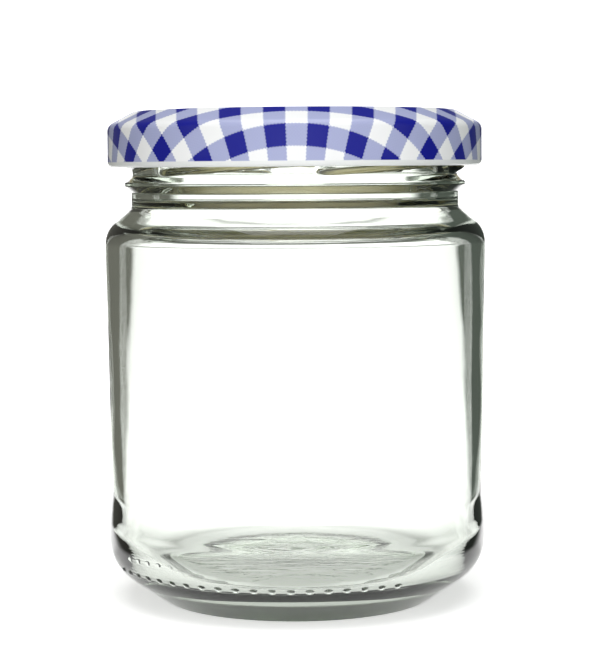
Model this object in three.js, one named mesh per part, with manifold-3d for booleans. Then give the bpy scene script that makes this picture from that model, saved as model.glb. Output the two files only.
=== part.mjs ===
// A small preserve jar in clear glass with a twist-on tinplate lid.
// Millimetres. The jar stands on z = 0 with its axis on +Z, and its front faces -Y.
import * as THREE from "three";
import { mergeVertices } from "three/addons/utils/BufferGeometryUtils.js";
import Module from "manifold-3d";

const wasm = await Module();
wasm.setup();

// Driving dimensions
const TURN_STEPS = 48; // flats round each turned piece
const ARC_STEP_DEG = 25; // largest turn of one facet on a round edge

const BODY_RADIUS = 33.7; // contact rings above the heel and below the shoulder
const JAR_HEIGHT = 85.75;
const PANEL_FOOT_RECESS = 0.45; // the label panel leans in slightly towards the heel
const PANEL_FOOT = 18.5;
const LOWER_RING = 14; // top of the contact ring above the heel
const LOWER_RING_ROUND = 8;
const PANEL_FOOT_ROUND = 12;
const PANEL_TOP_RECESS = 0.2;
const PANEL_TOP = 48;
const UPPER_RING = 61; // foot of the contact ring below the shoulder
const PANEL_TOP_ROUND = 60;
const UPPER_RING_ROUND = 40;
const WALL = 2;

const BEARING_INNER_RADIUS = 22.2; // the ring that touches the table
const BEARING_INNER_ROUND = 0.8;
const BEARING_OUTER_RADIUS = 24.2;
const BEARING_OUTER_ROUND = 1.4;
const HEEL_SLOPE_DEG = 35.5;
const HEEL_ROUND = 8.3;
const PUSH_UP = 1.5; // how far the underside arches off the table
const PUSH_FLAT_RADIUS = 8;
const PUSH_ROUND = 40;
const FLOOR_HEIGHT = 5; // inner floor beside the heel
const FLOOR_DOME = 0.3; // extra height of the floor at the axis
const FLOOR_DOME_RADIUS = 16.2;
const FLOOR_DOME_ROUND = 20;
const INNER_HEEL_ROUND = 8;

const SHOULDER_SLOPE_DEG = 40;
const SHOULDER_ROUND = 5.2;
const INNER_SHOULDER = 64.1; // where the wall would meet the shoulder's inside
const INNER_SHOULDER_ROUND = 2.6;
const INNER_BEND = 67.3; // the inside steepens here towards the bore
const INNER_BEND_RADIUS = 27.8;
const INNER_BEND_ROUND = 3;

const NECK_RADIUS = 29; // between shoulder and bead
const NECK_FOOT = 69.65; // where the shoulder's slope would meet the neck
const NECK_FOOT_ROUND = 0.8;
const BORE_RADIUS = 25.4;
const BORE_FOOT = 70.9;
const BORE_FOOT_ROUND = 1.5;
const FINISH_RADIUS = 28.8; // wall between the threads
const RIM_ROUND = 1;

const BEAD_RADIUS = 30.2;
const BEAD_FOOT = 72.2; // its sloping underside leaves the neck
const BEAD_LOW = 73.4; // lower and upper edge of its crest
const BEAD_TOP = 74;
const BEAD_ROUND = 0.4;
const FINISH_FOOT = 75.1; // its upper side is back at the wall
const FINISH_FOOT_ROUND = 0.8;

const THREAD_STARTS = 6;
const THREAD_TUBE = 0.85; // radius of the round ridge
const THREAD_CREST = 30.15;
const THREAD_LOW_EDGE = 75.25; // underside of the lower end
const THREAD_LEAD = 13.4; // rise in a full turn
const THREAD_SWEEP_DEG = 72;
const THREAD_FADE_DEG = 8; // where each end sinks into the wall
const THREAD_FADE_DEPTH = 1.8;
const THREAD_FIRST_DEG = 7; // lower end of the front ridge, right of the front line
const THREAD_SIDES = 8;
const THREAD_STEPS = 12;

const LID_RADIUS = 33.1;
const LID_TOP = 86.45;
const LID_FOOT = 76.65;
const LID_SHEET = 0.3; // tinplate with its print and lacquers
const LID_PANEL_SINK = 0.7; // centre panel below the raised rim
const LID_PANEL_RADIUS = 23.6;
const LID_PANEL_ROUND = 0.6;
const LID_STEP_RADIUS = 25;
const LID_STEP_ROUND = 0.8;
const LID_BEVEL_RADIUS = 28.5; // inner edge of the sloping shoulder
const LID_RIM_ROUND = 1.3;
const LID_BEVEL_FOOT = 83.95;
const LID_BEVEL_ROUND = 1.6;
const LID_CURL = 2.2; // width and height of the rolled edge
const LID_CURL_ROUND = 1.05;
const LUG_WIDTH_DEG = 11;
const LUG_REACH = 1.5; // how far a lug stands in from the curl
const LUG_HEIGHT = 0.35;
const LUG_LIFT = 0.05; // lug's underside above the lid's foot
const LUG_ARC_STEPS = 4;
const LUG_AFTER_THREAD_DEG = 56; // lug's middle, from its ridge's lower end

const WELD = 1e-4; // points nearer than this are one

const rad = THREE.MathUtils.degToRad;

// A corner of a turned outline: radius, height and the round that softens it.
const corner = (r, z, round = 0) => ({ at: new THREE.Vector2(r, z), round });

// Turns corners into points: a sharp corner stays one point, a rounded one becomes an arc.
function outline(corners) {
  const points = [];
  corners.forEach(({ at, round }, i) => {
    if (!round) {
      points.push(at.clone());
      return;
    }
    const back = corners[i - 1].at.clone().sub(at).normalize();
    const on = corners[i + 1].at.clone().sub(at).normalize();
    const half = Math.acos(THREE.MathUtils.clamp(back.dot(on), -1, 1)) / 2;
    const centre = back.clone().add(on).normalize().multiplyScalar(round / Math.sin(half)).add(at);
    const sweep = Math.sign(on.cross(back)) * (Math.PI - 2 * half);
    const first = back.clone().multiplyScalar(round / Math.tan(half)).add(at);
    const steps = Math.max(1, Math.ceil(THREE.MathUtils.radToDeg(Math.abs(sweep)) / ARC_STEP_DEG));
    for (let k = 0; k <= steps; k++) {
      points.push(first.clone().rotateAround(centre, (sweep * k) / steps));
    }
  });
  return points;
}

// A three.js geometry as a solid that can be joined and cut.
function solid(geometry) {
  const bare = geometry.clone();
  bare.deleteAttribute("normal");
  bare.deleteAttribute("uv");
  const welded = mergeVertices(bare, WELD);
  return new wasm.Manifold(
    new wasm.Mesh({
      numProp: 3,
      vertProperties: welded.attributes.position.array,
      triVerts: new Uint32Array(welded.index.array),
    }),
  );
}

// The joined solid back as a three.js geometry.
function geometryOf(manifold) {
  const mesh = manifold.getMesh();
  const geometry = new THREE.BufferGeometry();
  geometry.setAttribute("position", new THREE.BufferAttribute(mesh.vertProperties, 3));
  geometry.setIndex(new THREE.BufferAttribute(mesh.triVerts, 1));
  geometry.computeVertexNormals();
  return geometry;
}

// A turned piece, laid so that its axis is +Z.
const turned = (points) => new THREE.LatheGeometry(points, TURN_STEPS).rotateX(Math.PI / 2);

// A point at an angle measured rightwards from the front line.
const around = (deg, r, z) => new THREE.Vector3(r * Math.sin(rad(deg)), -r * Math.cos(rad(deg)), z);

// The glass: outside from the push-up to the rim, then the inside back down to the floor.
function jarOutline() {
  const heelCorner = (BODY_RADIUS - BEARING_OUTER_RADIUS) * Math.tan(rad(HEEL_SLOPE_DEG));
  const shoulderCorner = NECK_FOOT - (BODY_RADIUS - NECK_RADIUS) * Math.tan(rad(SHOULDER_SLOPE_DEG));
  const panelFoot = BODY_RADIUS - PANEL_FOOT_RECESS;
  const panelTop = BODY_RADIUS - PANEL_TOP_RECESS;
  return outline([
    corner(0, PUSH_UP),
    corner(PUSH_FLAT_RADIUS, PUSH_UP, PUSH_ROUND),
    corner(BEARING_INNER_RADIUS, 0, BEARING_INNER_ROUND),
    corner(BEARING_OUTER_RADIUS, 0, BEARING_OUTER_ROUND),
    corner(BODY_RADIUS, heelCorner, HEEL_ROUND),
    corner(BODY_RADIUS, LOWER_RING, LOWER_RING_ROUND),
    corner(panelFoot, PANEL_FOOT, PANEL_FOOT_ROUND),
    corner(panelTop, PANEL_TOP, PANEL_TOP_ROUND),
    corner(BODY_RADIUS, UPPER_RING, UPPER_RING_ROUND),
    corner(BODY_RADIUS, shoulderCorner, SHOULDER_ROUND),
    corner(NECK_RADIUS, NECK_FOOT, NECK_FOOT_ROUND),
    corner(NECK_RADIUS, BEAD_FOOT, BEAD_ROUND),
    corner(BEAD_RADIUS, BEAD_LOW, BEAD_ROUND),
    corner(BEAD_RADIUS, BEAD_TOP, BEAD_ROUND),
    corner(FINISH_RADIUS, FINISH_FOOT, FINISH_FOOT_ROUND),
    corner(FINISH_RADIUS, JAR_HEIGHT, RIM_ROUND),
    corner(BORE_RADIUS, JAR_HEIGHT, RIM_ROUND),
    corner(BORE_RADIUS, BORE_FOOT, BORE_FOOT_ROUND),
    corner(INNER_BEND_RADIUS, INNER_BEND, INNER_BEND_ROUND),
    corner(panelTop - WALL, INNER_SHOULDER, INNER_SHOULDER_ROUND),
    corner(panelFoot - WALL, FLOOR_HEIGHT, INNER_HEEL_ROUND),
    corner(FLOOR_DOME_RADIUS, FLOOR_HEIGHT, FLOOR_DOME_ROUND),
    corner(0, FLOOR_HEIGHT + FLOOR_DOME),
  ]);
}

// The centre line of one thread ridge: a rising turn whose ends sink into the neck.
class ThreadLine extends THREE.Curve {
  constructor(startDeg) {
    super();
    this.startDeg = startDeg;
  }

  getPoint(t, target = new THREE.Vector3()) {
    const along = t * THREAD_SWEEP_DEG;
    const fromEnd = Math.min(along, THREAD_SWEEP_DEG - along);
    const sunk = THREAD_FADE_DEPTH * (1 - THREE.MathUtils.smoothstep(fromEnd, 0, THREAD_FADE_DEG));
    const z = THREAD_LOW_EDGE + THREAD_TUBE + (THREAD_LEAD * along) / 360;
    return target.copy(around(this.startDeg + along, THREAD_CREST - THREAD_TUBE - sunk, z));
  }
}

function threadRidge(startDeg) {
  const section = new THREE.Shape().absarc(0, 0, THREAD_TUBE, 0, 2 * Math.PI);
  return new THREE.ExtrudeGeometry(section, {
    steps: THREAD_STEPS,
    curveSegments: THREAD_SIDES,
    extrudePath: new ThreadLine(startDeg),
  });
}

const threadStart = (k) => THREAD_FIRST_DEG + (360 / THREAD_STARTS) * k;

function jarGeometry() {
  let glass = solid(turned(jarOutline()));
  for (let k = 0; k < THREAD_STARTS; k++) glass = glass.add(solid(threadRidge(threadStart(k))));
  return geometryOf(glass);
}

// The lid: printed outside from the centre to the rolled edge, then the inside back to the centre.
function lidOutline() {
  const panel = LID_TOP - LID_PANEL_SINK;
  const inside = LID_RADIUS - LID_SHEET;
  const curlInside = LID_RADIUS - LID_CURL;
  const curlTop = LID_FOOT + LID_CURL;
  return outline([
    corner(0, panel - LID_SHEET),
    corner(LID_PANEL_RADIUS, panel - LID_SHEET, LID_PANEL_ROUND + LID_SHEET),
    corner(LID_STEP_RADIUS, LID_TOP - LID_SHEET, LID_STEP_ROUND - LID_SHEET),
    corner(LID_BEVEL_RADIUS, LID_TOP - LID_SHEET, LID_RIM_ROUND - LID_SHEET),
    corner(inside, LID_BEVEL_FOOT - LID_SHEET / 2, LID_BEVEL_ROUND - LID_SHEET),
    corner(inside, curlTop, LID_SHEET),
    corner(curlInside, curlTop, LID_CURL_ROUND),
    corner(curlInside, LID_FOOT, LID_CURL_ROUND),
    corner(LID_RADIUS, LID_FOOT, LID_CURL_ROUND),
    corner(LID_RADIUS, LID_BEVEL_FOOT, LID_BEVEL_ROUND),
    corner(LID_BEVEL_RADIUS, LID_TOP, LID_RIM_ROUND),
    corner(LID_STEP_RADIUS, LID_TOP, LID_STEP_ROUND),
    corner(LID_PANEL_RADIUS, panel, LID_PANEL_ROUND),
    corner(0, panel),
  ]);
}

// One lug: a stretch of the curl pressed inwards, to catch under a thread ridge.
function lug(middleDeg) {
  const outerR = LID_RADIUS - LID_CURL / 2;
  const innerR = LID_RADIUS - LID_CURL - LUG_REACH;
  const start = rad(middleDeg - LUG_WIDTH_DEG / 2 - 90);
  const end = rad(middleDeg + LUG_WIDTH_DEG / 2 - 90);
  const plan = new THREE.Shape().absarc(0, 0, outerR, start, end, false);
  plan.absarc(0, 0, innerR, end, start, true);
  const block = new THREE.ExtrudeGeometry(plan, {
    depth: LUG_HEIGHT,
    bevelEnabled: false,
    curveSegments: LUG_ARC_STEPS,
  });
  return block.translate(0, 0, LID_FOOT + LUG_LIFT);
}

function lidGeometry() {
  let cap = solid(turned(lidOutline()));
  for (let k = 0; k < THREAD_STARTS; k++) {
    cap = cap.add(solid(lug(threadStart(k) + LUG_AFTER_THREAD_DEG)));
  }
  return geometryOf(cap);
}

function piece(name, geometry, look) {
  const mesh = new THREE.Mesh(geometry, new THREE.MeshStandardMaterial(look));
  mesh.name = name;
  return mesh;
}

const jar = new THREE.Group();
jar.add(
  piece("glass_jar", jarGeometry(), {
    color: 0xdfe8e0,
    roughness: 0.03,
    metalness: 0,
    transparent: true,
    opacity: 0.35,
  }),
  piece("twist_lid", lidGeometry(), { color: 0x8f90c8, roughness: 0.3, metalness: 0 }),
);

export default jar;
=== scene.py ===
import math

import bpy
import numpy as np
from mathutils import Matrix, Vector, noise


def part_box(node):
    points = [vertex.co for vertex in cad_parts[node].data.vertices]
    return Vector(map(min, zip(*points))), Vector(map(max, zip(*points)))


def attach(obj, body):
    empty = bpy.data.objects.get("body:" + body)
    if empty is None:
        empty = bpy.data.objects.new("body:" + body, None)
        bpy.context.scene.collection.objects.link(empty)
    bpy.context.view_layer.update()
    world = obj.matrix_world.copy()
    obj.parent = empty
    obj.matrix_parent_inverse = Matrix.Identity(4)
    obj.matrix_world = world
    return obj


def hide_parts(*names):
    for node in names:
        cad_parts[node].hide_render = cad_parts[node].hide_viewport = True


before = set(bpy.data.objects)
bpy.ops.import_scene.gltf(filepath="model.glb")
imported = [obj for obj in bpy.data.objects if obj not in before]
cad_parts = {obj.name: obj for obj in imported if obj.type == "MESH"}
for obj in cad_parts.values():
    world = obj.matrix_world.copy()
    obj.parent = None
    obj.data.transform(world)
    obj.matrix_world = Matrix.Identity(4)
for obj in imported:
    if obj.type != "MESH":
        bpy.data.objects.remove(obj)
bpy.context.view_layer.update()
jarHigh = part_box("glass_jar")[1]
lidLow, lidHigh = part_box("twist_lid")
mm = 0.001


def linear(hexColour):
    # sRGB hex to the linear colour that shaders take
    parts = [int(hexColour[i:i + 2], 16) / 255 for i in (1, 3, 5)]
    return [c / 12.92 if c <= 0.04045 else ((c + 0.055) / 1.055) ** 2.4 for c in parts] + [1.0]


def addNode(tree, kind, settings=None, inputs=None, links=None):
    # one node with its settings, its socket values and what feeds it
    node = tree.nodes.new(kind)
    for key, value in (settings or {}).items():
        setattr(node, key, value)
    for key, value in (inputs or {}).items():
        node.inputs[key].default_value = value
    for key, socket in (links or {}).items():
        tree.links.new(socket, node.inputs[key])
    return node


def newMaterial(name):
    material = bpy.data.materials.new(name)
    material.use_nodes = True
    material.node_tree.nodes.clear()
    return material, material.node_tree


def fadeOut(tree, socket, full, gone):
    # 1 below full, 0 beyond gone
    return addNode(tree, "ShaderNodeMapRange", {"interpolation_type": "SMOOTHSTEP"}, {
        "From Min": full, "From Max": gone, "To Min": 1.0, "To Max": 0.0}, {"Value": socket}).outputs[0]


def deselectAll():
    if bpy.context.mode != "OBJECT":
        bpy.ops.object.mode_set(mode="OBJECT")
    bpy.ops.object.select_all(action="DESELECT")


def roundedOutline(corners, arcStep):
    # corners are (radius, height, rounding); each rounding becomes an arc of short steps
    points = []
    for i, (r, z, rounding) in enumerate(corners):
        at = Vector((r, z))
        if not rounding or i in (0, len(corners) - 1):
            points.append(at)
            continue
        back = (Vector(corners[i - 1][:2]) - at).normalized()
        onward = (Vector(corners[i + 1][:2]) - at).normalized()
        half = back.angle(onward) / 2
        centre = at + (back + onward).normalized() * rounding / math.sin(half)
        arm = at + back * rounding / math.tan(half) - centre
        turn = math.copysign(math.pi - 2 * half, onward.cross(back))
        steps = max(2, math.ceil(abs(math.degrees(turn)) / arcStep))
        points += [centre + Matrix.Rotation(turn * k / steps, 2) @ arm for k in range(steps + 1)]
    return points


def closeUp(points, limits):
    # splits long stretches, by the spacing wanted at their height: (from, to, spacing)
    spaced = [points[0]]
    for a, b in zip(points, points[1:]):
        middle = (a.y + b.y) / 2
        spacing = min(s for low, high, s in limits if low <= middle <= high)
        cuts = max(1, math.ceil((b - a).length / spacing))
        spaced += [a.lerp(b, k / cuts) for k in range(1, cuts + 1)]
    return spaced


def spinPiece(name, points, steps):
    # one vertex drawn along the outline by extruding, then spun round the jar's axis
    deselectAll()
    bpy.ops.mesh.primitive_plane_add(size=mm)
    piece = bpy.context.object
    piece.name = piece.data.name = name
    bpy.ops.object.mode_set(mode="EDIT")
    bpy.ops.mesh.select_mode(type="VERT")
    bpy.ops.mesh.select_all(action="SELECT")
    bpy.ops.mesh.merge(type="CENTER")
    bpy.ops.transform.translate(value=(points[0].x * mm, 0, points[0].y * mm))
    for a, b in zip(points, points[1:]):
        step = ((b.x - a.x) * mm, 0, (b.y - a.y) * mm)
        bpy.ops.mesh.extrude_region_move(TRANSFORM_OT_translate={"value": step})
    bpy.ops.mesh.select_all(action="SELECT")
    # an eighth is spun, then doubled three times, which is far quicker than one whole turn
    bpy.ops.mesh.spin(steps=steps // 8, angle=math.tau / 8, center=(0, 0, 0), axis=(0, 0, 1))
    for part in (8, 4, 2):
        bpy.ops.mesh.select_all(action="SELECT")
        bpy.ops.mesh.duplicate()
        bpy.ops.transform.rotate(value=math.tau / part, orient_axis="Z", center_override=(0, 0, 0))
    bpy.ops.mesh.select_all(action="SELECT")
    bpy.ops.mesh.remove_doubles(threshold=0.002 * mm)
    bpy.ops.mesh.normals_make_consistent(inside=False)
    bpy.ops.object.mode_set(mode="OBJECT")
    bpy.ops.object.shade_smooth()
    return piece


def readPoints(piece):
    # vertex places in mm, with radius and the angle rightwards from the front line
    flat = np.empty(len(piece.data.vertices) * 3)
    piece.data.vertices.foreach_get("co", flat)
    xyz = flat.reshape(-1, 3) / mm
    return xyz, np.hypot(xyz[:, 0], xyz[:, 1]), np.degrees(np.arctan2(xyz[:, 0], -xyz[:, 1]))


def writePoints(piece, xyz):
    piece.data.vertices.foreach_set("co", (xyz * mm).ravel())
    piece.data.update()


def outlineIndex(points, radius, height):
    # which outline point each vertex was spun from
    line = np.array([(p.x, p.y) for p in points])
    found = np.empty(len(radius), int)
    batch = 8192
    for start in range(0, len(radius), batch):
        part = slice(start, start + batch)
        gap = np.hypot(radius[part, None] - line[:, 0], height[part, None] - line[:, 1])
        found[part] = gap.argmin(1)
    return found


def smooth(value, low, high):
    t = np.clip((value - low) / (high - low), 0, 1)
    return t * t * (3 - 2 * t)


# camera: fitted to the jar's outline in the 600 x 665 photograph
photoView = {
    "width": 600,
    "height": 665,
    "focalPixels": 2049,
    "axisPixel": 295.9,
    "distance": 365,
    "eyeHeight": 76.3,
    "pitchDown": 4.574,
    "lean": 0.416,
}


def placeCamera(view):
    lens = bpy.data.cameras.new("photo_view")
    lens.sensor_width = 36
    lens.lens = view["focalPixels"] / view["height"] * lens.sensor_width
    lens.shift_x = (view["width"] / 2 - view["axisPixel"]) / view["height"]
    lens.clip_start = 0.01
    camera = bpy.data.objects.new("photo_view", lens)
    bpy.context.scene.collection.objects.link(camera)
    tilt = Matrix.Rotation(math.radians(90 - view["pitchDown"]), 4, "X")
    lean = Matrix.Rotation(math.radians(-view["lean"]), 4, "Z")
    place = Matrix.Translation((0, -view["distance"] * mm, view["eyeHeight"] * mm))
    camera.matrix_world = place @ tilt @ lean
    bpy.context.scene.camera = camera


placeCamera(photoView)
print("camera placed")


# glass jar: millimetres, height 0 at the table
glassJar = {
    "steps": 288,
    "arcStep": 5,
    "panelFootRecess": 0.45,
    "panelFoot": 18.5,
    "panelFootRound": 12,
    "lowerRing": 14,
    "lowerRingRound": 8,
    "panelTopRecess": 0.2,
    "panelTop": 48,
    "panelTopRound": 60,
    "upperRing": 61,
    "upperRingRound": 40,
    "wall": 2.0,
    "bearingInner": 22.2,
    "bearingInnerRound": 0.8,
    "bearingOuter": 24.2,
    "bearingOuterRound": 1.4,
    "heelSlope": 35.5,
    "heelRound": 8.3,
    "pushUp": 1.5,
    "pushFlat": 8,
    "pushRound": 40,
    "floorHeight": 5,
    "floorDome": 0.3,
    "floorDomeRadius": 16.2,
    "floorDomeRound": 20,
    "innerHeelRound": 8,
    "shoulderSlope": 40,
    "shoulderRound": 5.2,
    "innerShoulder": 64.1,
    "innerShoulderRound": 2.6,
    "innerBendRadius": 27.8,
    "innerBend": 67.3,
    "innerBendRound": 3,
    "innerNeckFoot": 70.9,
    "innerNeckRound": 1.5,
    "neckRadius": 29,
    "neckFoot": 69.65,
    "neckFootRound": 0.8,
    "finishRadius": 28.8,
    "boreRadius": 25.4,
    "beadRadius": 30.2,
    "beadFoot": 72.2,
    "beadLow": 73.4,
    "beadTop": 74.0,
    "beadRound": 0.4,
    "finishFoot": 75.1,
    "finishFootRound": 0.8,
    "rimRound": 1.0,
    "rowSpacing": 2.5,
    "insideSpacing": 1.2,
    "threadRowSpacing": 0.2,
    "threadRowsFoot": 74.5,
    "threadRowsBelowRim": 2,
    "dotRowSpacing": 0.3,
    "dotRows": (5.5, 9.5),
    "threadStarts": 6,
    "threadFirst": 7,
    "threadSweep": 72,
    "threadLow": 76.1,
    "threadLead": 13.4,
    "threadRise": 1.33,
    "threadHalf": 1.2,
    "threadFade": 8,
    "threadFlank": 1.4,
    "dotHeight": 6.8,
    "dotPitch": 5.5,
    "dotFrom": -68,
    "dotTo": 33,
    "dotRadius": 0.45,
    "dotRise": 0.3,
    "dotSlope": 35,
    "dotBand": 1.6,
    "dotEnds": 2,
    "dotCuts": 2,
    "waveInside": 0.04,
    "waveLength": 11,
    "streak": 0.32,
    "streakSize": (5.0, 1.6, 4.0),
    "streakEdge": 2,
    "streakAbove": (1, 2),
}


def jarOutlines(jar):
    body = jarHigh.x / mm
    top = jarHigh.z / mm
    heelCorner = (body - jar["bearingOuter"]) * math.tan(math.radians(jar["heelSlope"]))
    slope = math.tan(math.radians(jar["shoulderSlope"]))
    shoulder = jar["neckFoot"] - (body - jar["neckRadius"]) * slope
    panelTop, panelFoot = body - jar["panelTopRecess"], body - jar["panelFootRecess"]
    innerTop, innerFoot = panelTop - jar["wall"], panelFoot - jar["wall"]
    rim = jar["rimRound"]
    outside = [
        (0, jar["pushUp"], 0),
        (jar["pushFlat"], jar["pushUp"], jar["pushRound"]),
        (jar["bearingInner"], 0, jar["bearingInnerRound"]),
        (jar["bearingOuter"], 0, jar["bearingOuterRound"]),
        (body, heelCorner, jar["heelRound"]),
        (body, jar["lowerRing"], jar["lowerRingRound"]),
        (panelFoot, jar["panelFoot"], jar["panelFootRound"]),
        (panelTop, jar["panelTop"], jar["panelTopRound"]),
        (body, jar["upperRing"], jar["upperRingRound"]),
        (body, shoulder, jar["shoulderRound"]),
        (jar["neckRadius"], jar["neckFoot"], jar["neckFootRound"]),
        (jar["neckRadius"], jar["beadFoot"], jar["beadRound"]),
        (jar["beadRadius"], jar["beadLow"], jar["beadRound"]),
        (jar["beadRadius"], jar["beadTop"], jar["beadRound"]),
        (jar["finishRadius"], jar["finishFoot"], jar["finishFootRound"]),
        (jar["finishRadius"], top, rim),
        (jar["boreRadius"], top, rim),
    ]
    inside = [
        (jar["boreRadius"], jar["innerNeckFoot"], jar["innerNeckRound"]),
        (jar["innerBendRadius"], jar["innerBend"], jar["innerBendRound"]),
        (innerTop, jar["innerShoulder"], jar["innerShoulderRound"]),
        (innerFoot, jar["floorHeight"], jar["innerHeelRound"]),
        (jar["floorDomeRadius"], jar["floorHeight"], jar["floorDomeRound"]),
        (0, jar["floorHeight"] + jar["floorDome"], 0),
    ]
    spacing = [
        (-1, top + 1, jar["rowSpacing"]),
        (jar["threadRowsFoot"], top - jar["threadRowsBelowRim"], jar["threadRowSpacing"]),
        (*jar["dotRows"], jar["dotRowSpacing"]),
    ]
    line = closeUp(roundedOutline(outside + inside, jar["arcStep"]), spacing)
    # the bore and the floor don't need the threads' fine rows
    bore = jar["boreRadius"] + 1e-6
    turn = next(i for i, p in enumerate(line) if p.x <= bore and p.y > jar["threadRowsFoot"])
    return thinOut(line, turn, jar["insideSpacing"]), turn


def thinOut(line, start, spacing):
    kept = line[:start + 1]
    for i, p in enumerate(line[start + 1:-1], start + 1):
        straight = (line[i + 1] - p).normalized().dot((p - kept[-1]).normalized()) > 0.99999
        if not straight or (p - kept[-1]).length >= spacing:
            kept.append(p)
    return kept + [line[-1]]


def raiseThreads(jar, radius, angle, height, isOutside):
    # soft ridges that climb to the right, their ends sinking into the neck
    rise = np.zeros(len(radius))
    for start in range(jar["threadStarts"]):
        along = (angle - jar["threadFirst"] - 360 / jar["threadStarts"] * start) % 360
        middle = jar["threadLow"] + jar["threadLead"] * along / 360
        across = np.clip(np.abs(height - middle) / jar["threadHalf"], 0, 1)
        ends = np.minimum(along, jar["threadSweep"] - along)
        fade = smooth(ends, 0, jar["threadFade"])
        ridge = 0.5 + 0.5 * np.cos(math.pi * across ** jar["threadFlank"])
        rise = np.maximum(rise, jar["threadRise"] * fade * ridge)
    upTo = jarHigh.z / mm - jar["threadRowsBelowRim"]
    onNeck = isOutside & (height > jar["threadRowsFoot"]) & (height < upTo)
    return np.where(onNeck, rise, 0)


def raiseDots(jar, radius, angle, height, isOutside):
    # a row of small raised dots along the front of the heel
    count = int((jar["dotTo"] - jar["dotFrom"]) / jar["dotPitch"])
    rise = np.zeros(len(radius))
    for k in range(count + 1):
        sideways = np.radians(angle - jar["dotFrom"] - k * jar["dotPitch"]) * radius
        upwards = (height - jar["dotHeight"]) / math.cos(math.radians(jar["dotSlope"]))
        away = np.clip(np.hypot(sideways, upwards) / jar["dotRadius"], 0, 1)
        rise = np.maximum(rise, jar["dotRise"] * np.sqrt(1 - away ** 2))
    return np.where(isOutside & (height < jar["lowerRing"]), rise, 0)


def selectHeelBand(piece, jar):
    # faces round the row of dots, to be cut finer
    bpy.ops.mesh.select_all(action="DESELECT")
    bpy.ops.object.mode_set(mode="OBJECT")
    reach = jar["dotRadius"] * jar["dotBand"]
    fromAngle, toAngle = jar["dotFrom"] - jar["dotEnds"], jar["dotTo"] + jar["dotEnds"]
    for face in piece.data.polygons:
        x, y, z = (c / mm for c in face.center)
        angle = math.degrees(math.atan2(x, -y))
        inRow = abs(z - jar["dotHeight"]) < reach and fromAngle < angle < toAngle
        face.select = inRow and math.hypot(x, y) > jarHigh.x / mm - jar["wall"]
    bpy.ops.object.mode_set(mode="EDIT")


def makeGlassJar(jar):
    line, turn = jarOutlines(jar)
    piece = spinPiece("jar_glass", line, jar["steps"])
    bpy.ops.object.mode_set(mode="EDIT")
    bpy.ops.mesh.select_mode(type="FACE")
    selectHeelBand(piece, jar)
    bpy.ops.mesh.subdivide(number_cuts=jar["dotCuts"])
    bpy.ops.object.mode_set(mode="OBJECT")
    xyz, radius, angle = readPoints(piece)
    height = xyz[:, 2]
    isOutside = outlineIndex(line, radius, height) < turn
    grow = raiseThreads(jar, radius, angle, height, isOutside)
    grow = grow + raiseDots(jar, radius, angle, height, isOutside)
    # blown glass: the inner wall wavers a little
    wave = np.array([noise.noise(Vector(p) / jar["waveLength"]) for p in xyz]) * jar["waveInside"]
    inBody = ~isOutside & (height < jar["neckFoot"]) & (radius > 1)
    grow = grow + np.where(inBody, wave, 0)
    xyz[:, :2] *= ((radius + grow) / np.maximum(radius, 1e-6))[:, None]
    writePoints(piece, xyz)
    print("glass jar:", len(piece.data.polygons), "faces")
    return piece


def sodaLimeGlass(jar):
    # pressed and blown soda-lime glass: clear through the wall, grey-green where light runs along it
    material, tree = newMaterial("soda_lime_glass")
    surface = addNode(tree, "ShaderNodeBsdfPrincipled", inputs={
        "Base Color": (1, 1, 1, 1), "Roughness": 0.0, "IOR": 1.52, "Transmission Weight": 1.0})
    place = addNode(tree, "ShaderNodeTexCoord")
    ripple = addNode(tree, "ShaderNodeTexNoise", inputs={"Scale": 1 / (14 * mm), "Detail": 1.5},
                     links={"Vector": place.outputs["Object"]})
    bump = addNode(tree, "ShaderNodeBump", inputs={"Strength": 0.12, "Distance": 0.4 * mm},
                   links={"Height": ripple.outputs["Fac"]})
    # the base keeps the streaks of the mould plate
    squeeze = addNode(tree, "ShaderNodeMapping", {"vector_type": "TEXTURE"}, {
        "Scale": [c * mm for c in jar["streakSize"]]}, {"Vector": place.outputs["Object"]})
    streaks = addNode(tree, "ShaderNodeTexNoise", inputs={"Scale": 1.0, "Detail": 3.0},
                      links={"Vector": squeeze.outputs["Vector"]})
    flat = addNode(tree, "ShaderNodeVectorMath", {"operation": "MULTIPLY"}, {1: (1, 1, 0)}, {
        0: place.outputs["Object"]})
    fromAxis = addNode(tree, "ShaderNodeVectorMath", {"operation": "LENGTH"}, links={0: flat.outputs[0]})
    height = addNode(tree, "ShaderNodeSeparateXYZ", links={"Vector": place.outputs["Object"]})
    ring, floor = jar["bearingInner"], jar["floorHeight"]
    low, high = (floor + above for above in jar["streakAbove"])
    inRing = fadeOut(tree, fromAxis.outputs["Value"], (ring - jar["streakEdge"]) * mm, ring * mm)
    atFoot = fadeOut(tree, height.outputs["Z"], low * mm, high * mm)
    onBase = addNode(tree, "ShaderNodeMath", {"operation": "MULTIPLY"}, links={0: inRing, 1: atFoot})
    relief = addNode(tree, "ShaderNodeMath", {"operation": "MULTIPLY"}, links={
        0: streaks.outputs["Fac"], 1: onBase.outputs[0]})
    pressed = addNode(tree, "ShaderNodeBump", inputs={"Strength": 1.0, "Distance": jar["streak"] * mm},
                      links={"Height": relief.outputs[0], "Normal": bump.outputs["Normal"]})
    tree.links.new(pressed.outputs["Normal"], surface.inputs["Normal"])
    tint = addNode(tree, "ShaderNodeVolumeAbsorption", inputs={
        "Color": (0.84, 0.88, 0.825, 1), "Density": 170.0})
    addNode(tree, "ShaderNodeOutputMaterial", links={
        "Surface": surface.outputs["BSDF"], "Volume": tint.outputs["Volume"]})
    return material


jarGlass = makeGlassJar(glassJar)
jarGlass.data.materials.append(sodaLimeGlass(glassJar))
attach(jarGlass, "root")
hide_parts("glass_jar")


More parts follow.
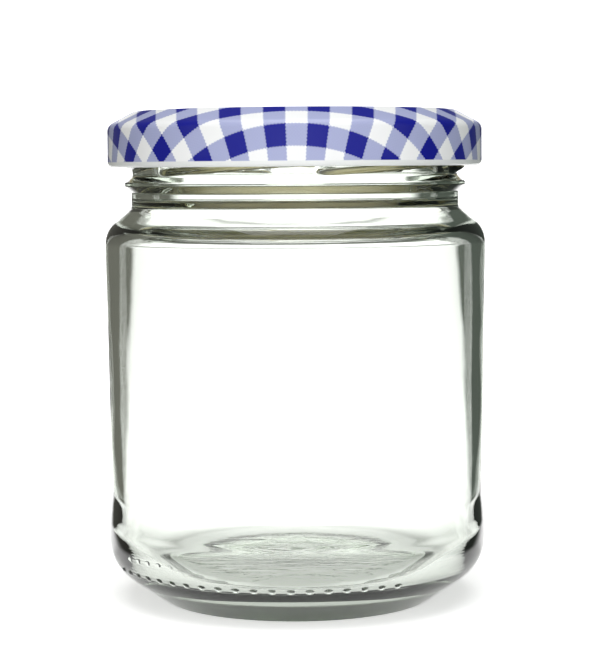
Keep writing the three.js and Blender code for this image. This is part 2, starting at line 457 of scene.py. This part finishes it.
# twist lid: millimetres
twistLid = {
    "steps": 288,
    "arcStep": 6,
    "sheet": 0.3,
    "panelSink": 0.7,
    "panelRadius": 23.6,
    "panelRound": 0.6,
    "stepRadius": 25,
    "stepRound": 0.8,
    "bevelRadius": 28.5,
    "rimRound": 1.3,
    "bevelDrop": 2.5,
    "bevelRound": 1.6,
    "curl": 2.2,
    "curlRound": 1.05,
    "curlTopRound": 1.0,
    "rowSpacing": 1.0,
    "lugReach": 1.4,
    "lugHalfAngle": 4.5,
    "lugAfterThread": 56,
    "lugTop": 0.35,
    "lugSideFade": 3,
    "lugTopFade": 0.3,
    "lugFromSkirt": (0.7, 1.6),
    "checkPeriod": 7.35,
    "checkOffset": (0.35, -2.73),
    "unprinted": 0.78,
    "threadsPerCheck": 25,
    "threadStep": 0.009,
    "checkEdge": 0.005,
    "borderEdge": 0.0008,
}


def lidOutline(lid):
    radius, top, foot = lidHigh.x / mm, lidHigh.z / mm, lidLow.z / mm
    panel = top - lid["panelSink"]
    sheet = lid["sheet"]
    bevelFoot = top - lid["bevelDrop"]
    curlTop, curlInside = foot + lid["curl"], radius - lid["curl"]
    inner = radius - sheet
    corners = [
        (0, panel, 0),
        (lid["panelRadius"], panel, lid["panelRound"]),
        (lid["stepRadius"], top, lid["stepRound"]),
        (lid["bevelRadius"], top, lid["rimRound"]),
        (radius, bevelFoot, lid["bevelRound"]),
        (radius, foot, lid["curlRound"]),
        (curlInside, foot, lid["curlRound"]),
        (curlInside, curlTop, lid["curlTopRound"]),
        (inner, curlTop, sheet),
        (inner, bevelFoot - sheet / 2, lid["bevelRound"] - sheet),
        (lid["bevelRadius"], top - sheet, lid["rimRound"] - sheet),
        (lid["stepRadius"], top - sheet, lid["stepRound"] - sheet),
        (lid["panelRadius"], panel - sheet, lid["panelRound"] + sheet),
        (0, panel - sheet, 0),
    ]
    return closeUp(roundedOutline(corners, lid["arcStep"]), [(0, top + 1, lid["rowSpacing"])])


def flatLengths(line):
    # distance of each outline point from the lid's centre, along the sheet before it was drawn
    steps = [0.0] + [(b - a).length for a, b in zip(line, line[1:])]
    return np.cumsum(steps)


def makeTwistLid(lid, jar):
    line = lidOutline(lid)
    piece = spinPiece("lid_tinplate", line, lid["steps"])
    xyz, radius, angle = readPoints(piece)
    index = outlineIndex(line, radius, xyz[:, 2])
    lowest = int(np.argmin([p.y - 0.001 * p.x for p in line]))
    # the lugs: short stretches of the curl pressed inwards, one under each thread
    height = xyz[:, 2] - lidLow.z / mm
    apart = 360 / jar["threadStarts"]
    turn = (angle - jar["threadFirst"] - lid["lugAfterThread"] + apart / 2) % apart - apart / 2
    sideways, upwards = lid["lugSideFade"], lid["lugTopFade"]
    press = smooth(lid["lugHalfAngle"] + sideways / 2 - np.abs(turn), 0, sideways)
    press = press * smooth(lid["lugTop"] + upwards / 2 - height, 0, upwards)
    inward = smooth(lidHigh.x / mm - radius, *lid["lugFromSkirt"])
    move = lid["lugReach"] * press * inward
    xyz[:, :2] *= ((radius - move) / np.maximum(radius, 1e-6))[:, None]
    writePoints(piece, xyz)
    # the print was flat before the lid was drawn, so its map is the flat sheet
    lengths = flatLengths(line)
    flat, edge = lengths[index], lengths[lowest]
    around = np.radians(angle)
    flatMap = np.stack([flat * np.sin(around), -flat * np.cos(around)], 1)
    layer = piece.data.uv_layers.new(name="flat_sheet")
    corners = np.empty(len(piece.data.loops), int)
    piece.data.loops.foreach_get("vertex_index", corners)
    layer.data.foreach_set("uv", (0.5 + flatMap[corners] / (2 * edge)).ravel())
    for face in piece.data.polygons:
        face.material_index = int(min(index[v] for v in face.vertices) >= lowest)
    print("twist lid:", len(piece.data.polygons), "faces, flat sheet", round(2 * edge, 1), "mm across")
    return piece, edge


def ginghamPrint(lid, edge):
    # offset-printed tinplate under gloss varnish: two crossing sets of bands, twice as deep where they cross
    material, tree = newMaterial("gingham_printed_tinplate")
    sheet = addNode(tree, "ShaderNodeUVMap", {"uv_map": "flat_sheet"})
    # map units back to checks, counted from the lid's centre
    scale = 2 * edge / lid["checkPeriod"]
    shift = [-0.5 * scale - c / lid["checkPeriod"] for c in lid["checkOffset"]]
    checks = addNode(tree, "ShaderNodeMapping", inputs={"Scale": (scale, scale, 1), "Location": (*shift, 0)},
                     links={"Vector": sheet.outputs["UV"]})
    split = addNode(tree, "ShaderNodeSeparateXYZ", links={"Vector": checks.outputs["Vector"]})
    # the print copies woven cloth: fine threads roughen the tint and the edges of the checks
    weave = addNode(tree, "ShaderNodeTexChecker", inputs={"Scale": lid["threadsPerCheck"]},
                    links={"Vector": checks.outputs["Vector"]})
    tooth = addNode(tree, "ShaderNodeMapRange", inputs={
        "To Min": -lid["threadStep"], "To Max": lid["threadStep"]}, links={"Value": weave.outputs["Fac"]})
    bands = []
    for axis in "XY":
        jagged = addNode(tree, "ShaderNodeMath", {"operation": "ADD"}, links={
            0: split.outputs[axis], 1: tooth.outputs[0]})
        swing = addNode(tree, "ShaderNodeMath", {"operation": "PINGPONG"}, {1: 0.5}, {0: jagged.outputs[0]})
        bands.append(addNode(tree, "ShaderNodeMapRange", {"interpolation_type": "SMOOTHSTEP"}, {
            "From Min": 0.25 - lid["checkEdge"], "From Max": 0.25 + lid["checkEdge"]}, {
            "Value": swing.outputs[0]}))
    ink = addNode(tree, "ShaderNodeMath", {"operation": "ADD"}, links={
        0: bands[0].outputs[0], 1: bands[1].outputs[0]})
    tint = addNode(tree, "ShaderNodeMath", {"operation": "MULTIPLY_ADD"}, {1: 0.5}, {
        0: ink.outputs[0], 2: tooth.outputs[0]})
    colours = addNode(tree, "ShaderNodeValToRGB", links={"Fac": tint.outputs[0]})
    ramp = colours.color_ramp
    ramp.elements[0].position = lid["threadStep"]
    ramp.elements[0].color = linear("#F8F9FA")
    ramp.elements[1].position = 1 - lid["threadStep"]
    ramp.elements[1].color = linear("#0B128C")
    ramp.elements.new(0.5).color = linear("#AAB0D6")
    # the border that the print leaves white, at the rolled edge
    fromCentre = addNode(tree, "ShaderNodeVectorMath", {"operation": "DISTANCE"}, {1: (0.5, 0.5, 0)},
                         {0: sheet.outputs["UV"]})
    border = 0.5 * (1 - lid["unprinted"] * 2 / edge)
    bare = addNode(tree, "ShaderNodeMapRange", {"interpolation_type": "SMOOTHSTEP"}, {
        "From Min": border - lid["borderEdge"], "From Max": border + lid["borderEdge"]}, {
        "Value": fromCentre.outputs["Value"]})
    colour = addNode(tree, "ShaderNodeMix", {"data_type": "RGBA"}, {7: linear("#EEF0F0")}, {
        0: bare.outputs[0], 6: colours.outputs["Color"]})
    place = addNode(tree, "ShaderNodeTexCoord")
    peel = addNode(tree, "ShaderNodeTexNoise", inputs={"Scale": 1 / (1.6 * mm), "Detail": 2.0},
                   links={"Vector": place.outputs["Object"]})
    bump = addNode(tree, "ShaderNodeBump", inputs={"Strength": 0.04, "Distance": 0.1 * mm},
                   links={"Height": peel.outputs["Fac"]})
    surface = addNode(tree, "ShaderNodeBsdfPrincipled", inputs={
        "Roughness": 0.4, "IOR": 1.3, "Coat Weight": 0.35, "Coat Roughness": 0.12}, links={
        "Base Color": colour.outputs[2], "Normal": bump.outputs["Normal"]})
    addNode(tree, "ShaderNodeOutputMaterial", links={"Surface": surface.outputs["BSDF"]})
    return material


def goldLacquer():
    # stoved lacquer on bare tinplate: a warm, slightly milky gold
    material, tree = newMaterial("gold_lacquered_tinplate")
    place = addNode(tree, "ShaderNodeTexCoord")
    flow = addNode(tree, "ShaderNodeTexNoise", inputs={"Scale": 1 / (9 * mm), "Detail": 3.0},
                   links={"Vector": place.outputs["Object"]})
    colours = addNode(tree, "ShaderNodeValToRGB", links={"Fac": flow.outputs["Fac"]})
    colours.color_ramp.elements[0].color = linear("#B9AF86")
    colours.color_ramp.elements[1].color = linear("#C9C096")
    surface = addNode(tree, "ShaderNodeBsdfPrincipled", inputs={
        "Roughness": 0.4, "Metallic": 0.6}, links={"Base Color": colours.outputs["Color"]})
    addNode(tree, "ShaderNodeOutputMaterial", links={"Surface": surface.outputs["BSDF"]})
    return material


lidTinplate, sheetEdge = makeTwistLid(twistLid, glassJar)
lidTinplate.data.materials.append(ginghamPrint(twistLid, sheetEdge))
lidTinplate.data.materials.append(goldLacquer())
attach(lidTinplate, "root")
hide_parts("twist_lid")


# studio: bright in front of and behind the jar and darker to both sides, so that the glass edges read
studio = {
    "floorRadius": 4.0,
    # the glow settings paint light and shade into the floor: a painted contact shadow under the jar, rising
    # to painted light further out and behind it
    "paintedShadowGlow": 0.25,
    "nearGlow": 0.5,
    "farGlow": 1.25,
    "paintedShadowReach": 0.005,
    "nearReach": 0.022,
    "farReach": 0.25,
    "paintedShadowBack": 0.007,
    "behindFrom": 0.018,
    "behindFull": 0.036,
    "floorWhite": 0.9,
    "poolRadius": 0.04,
    "poolFade": 0.03,
    "laneLead": 0.27,
    "laneFull": 0.2,
    "laneGone": 0.25,
    "backGlow": 1.7,
    "backHalfAngle": 11.3,
    "backFade": 5.0,
    "backUpTo": 8.0,
    "backUpFade": 8.0,
    "frontGlow": 0.8,
    "frontHalfAngle": 62.0,
    "frontFade": 20.0,
    "frontUpTo": 30.0,
    "frontUpFade": 30.0,
    "leftTone": "#74746C",
    "rightTone": "#5A615A",
    "floorBlend": 0.05,
    "roomBlend": 0.3,
    "topSize": 0.9,
    "topHeight": 1.0,
    "topForward": 0.3,
    "topPower": 8.5,
}


def floorPaperPaintedLight(setup):
    # matt white paper that also glows as painted light, in a pool round the jar and a lane along Y;
    # elsewhere it only glows in the side greys, as painted shade
    material, tree = newMaterial("studio_paper_painted_light")
    place = addNode(tree, "ShaderNodeTexCoord")
    split = addNode(tree, "ShaderNodeSeparateXYZ", links={"Vector": place.outputs["Object"]})
    side = addNode(tree, "ShaderNodeMath", {"operation": "ABSOLUTE"}, links={0: split.outputs["X"]})
    deep = addNode(tree, "ShaderNodeMath", {"operation": "ABSOLUTE"}, links={0: split.outputs["Y"]})
    reach = addNode(tree, "ShaderNodeMath", {"operation": "ADD"}, {1: setup["laneLead"]}, {
        0: deep.outputs[0]})
    spread = addNode(tree, "ShaderNodeMath", {"operation": "DIVIDE"}, links={
        0: side.outputs[0], 1: reach.outputs[0]})
    away = addNode(tree, "ShaderNodeVectorMath", {"operation": "LENGTH"}, links={0: place.outputs["Object"]})
    lane = fadeOut(tree, spread.outputs[0], setup["laneFull"], setup["laneGone"])
    pool = fadeOut(tree, away.outputs["Value"], setup["poolRadius"], setup["poolRadius"] + setup["poolFade"])
    # painted light and shade: inside the pool and the lane the floor is white paper that also glows; outside
    # them it is only a grey glow in the side tones
    paintedPoolMask = addNode(tree, "ShaderNodeMath", {"operation": "MAXIMUM"}, links={0: lane, 1: pool})
    white = setup["floorWhite"]
    half = fadeOut(tree, split.outputs["X"], -setup["floorBlend"], setup["floorBlend"])
    grey = addNode(tree, "ShaderNodeMix", {"data_type": "RGBA"}, {
        6: linear(setup["rightTone"]), 7: linear(setup["leftTone"])}, {0: half})
    paper = addNode(tree, "ShaderNodeBsdfDiffuse", inputs={"Color": (white, white, white, 1)})
    # the painted glow is dimmest under the jar as a painted contact shadow, grows with distance and is full
    # close behind it as painted light
    paintedShadowCentre = (0, setup["paintedShadowBack"], 0)
    apart = addNode(tree, "ShaderNodeVectorMath", {"operation": "DISTANCE"}, {1: paintedShadowCentre}, {
        0: place.outputs["Object"]})
    near, under = setup["nearGlow"], setup["paintedShadowGlow"]
    glow = addNode(tree, "ShaderNodeMapRange", inputs={
        "From Min": setup["paintedShadowReach"], "From Max": setup["nearReach"],
        "To Min": under, "To Max": near}, links={"Value": apart.outputs["Value"]})
    more = addNode(tree, "ShaderNodeMapRange", inputs={
        "From Min": setup["nearReach"], "From Max": setup["farReach"],
        "To Min": 0.0, "To Max": setup["farGlow"] - near}, links={"Value": apart.outputs["Value"]})
    behind = addNode(tree, "ShaderNodeMapRange", inputs={
        "From Min": setup["behindFrom"], "From Max": setup["behindFull"],
        "To Min": 0.0, "To Max": setup["farGlow"] - near}, links={"Value": split.outputs["Y"]})
    extra = addNode(tree, "ShaderNodeMath", {"operation": "MAXIMUM"}, links={
        0: more.outputs[0], 1: behind.outputs[0]})
    strength = addNode(tree, "ShaderNodeMath", {"operation": "ADD"}, links={
        0: glow.outputs[0], 1: extra.outputs[0]})
    # painted light: the paper's own glow, which no lamp gives
    light = addNode(tree, "ShaderNodeEmission", links={"Strength": strength.outputs[0]})
    bright = addNode(tree, "ShaderNodeAddShader", links={0: paper.outputs[0], 1: light.outputs[0]})
    # painted shade: the grey glow of the floor beyond the pool and the lane
    paintedGreySides = addNode(tree, "ShaderNodeEmission", links={"Color": grey.outputs[2]})
    both = addNode(tree, "ShaderNodeMixShader", links={
        0: paintedPoolMask.outputs[0], 1: paintedGreySides.outputs[0], 2: bright.outputs[0]})
    addNode(tree, "ShaderNodeOutputMaterial", links={"Surface": both.outputs[0]})
    return material


def studioSurround(setup):
    # the room by direction: white behind and in front, greys at the sides
    world = bpy.data.worlds.new("studio_surround")
    world.use_nodes = True
    tree = world.node_tree
    tree.nodes.clear()
    place = addNode(tree, "ShaderNodeTexCoord")
    split = addNode(tree, "ShaderNodeSeparateXYZ", links={"Vector": place.outputs["Generated"]})
    side = addNode(tree, "ShaderNodeMath", {"operation": "ABSOLUTE"}, links={0: split.outputs["X"]})
    toFront = addNode(tree, "ShaderNodeMath", {"operation": "MULTIPLY"}, {1: -1.0}, {0: split.outputs["Y"]})
    half = fadeOut(tree, split.outputs["X"], -setup["roomBlend"], setup["roomBlend"])
    tone = addNode(tree, "ShaderNodeMix", {"data_type": "RGBA"}, {
        6: linear(setup["rightTone"]), 7: linear(setup["leftTone"])}, {0: half}).outputs[2]
    for name, depth in (("back", split.outputs["Y"]), ("front", toFront.outputs[0])):
        angle = addNode(tree, "ShaderNodeMath", {"operation": "ARCTAN2"}, links={
            0: side.outputs[0], 1: depth})
        full = math.radians(setup[name + "HalfAngle"])
        near = fadeOut(tree, angle.outputs[0], full, full + math.radians(setup[name + "Fade"]))
        low = math.radians(setup[name + "UpTo"])
        high = low + math.radians(setup[name + "UpFade"])
        lowDown = fadeOut(tree, split.outputs["Z"], math.sin(low), math.sin(high))
        near = addNode(tree, "ShaderNodeMath", {"operation": "MULTIPLY"}, links={
            0: near, 1: lowDown}).outputs[0]
        glow = setup[name + "Glow"]
        tone = addNode(tree, "ShaderNodeMix", {"data_type": "RGBA"}, {7: (glow, glow, glow, 1)}, {
            0: near, 6: tone}).outputs[2]
    room = addNode(tree, "ShaderNodeBackground", links={"Color": tone})
    addNode(tree, "ShaderNodeOutputWorld", links={"Surface": room.outputs[0]})
    bpy.context.scene.world = world


def makeStudio(setup):
    deselectAll()
    bpy.ops.mesh.primitive_circle_add(vertices=96, radius=setup["floorRadius"], fill_type="NGON")
    floor = bpy.context.object
    floor.name = "studio_floor"
    floor.data.materials.append(floorPaperPaintedLight(setup))
    studioSurround(setup)
    top = bpy.data.lights.new("top_softbox", "AREA")
    top.shape = "SQUARE"
    top.size = setup["topSize"]
    top.energy = setup["topPower"]
    lamp = bpy.data.objects.new("top_softbox", top)
    lamp.location = (0, -setup["topForward"], setup["topHeight"])
    bpy.context.scene.collection.objects.link(lamp)
    bpy.context.scene.view_settings.view_transform = "Standard"


makeStudio(studio)
print("studio set")
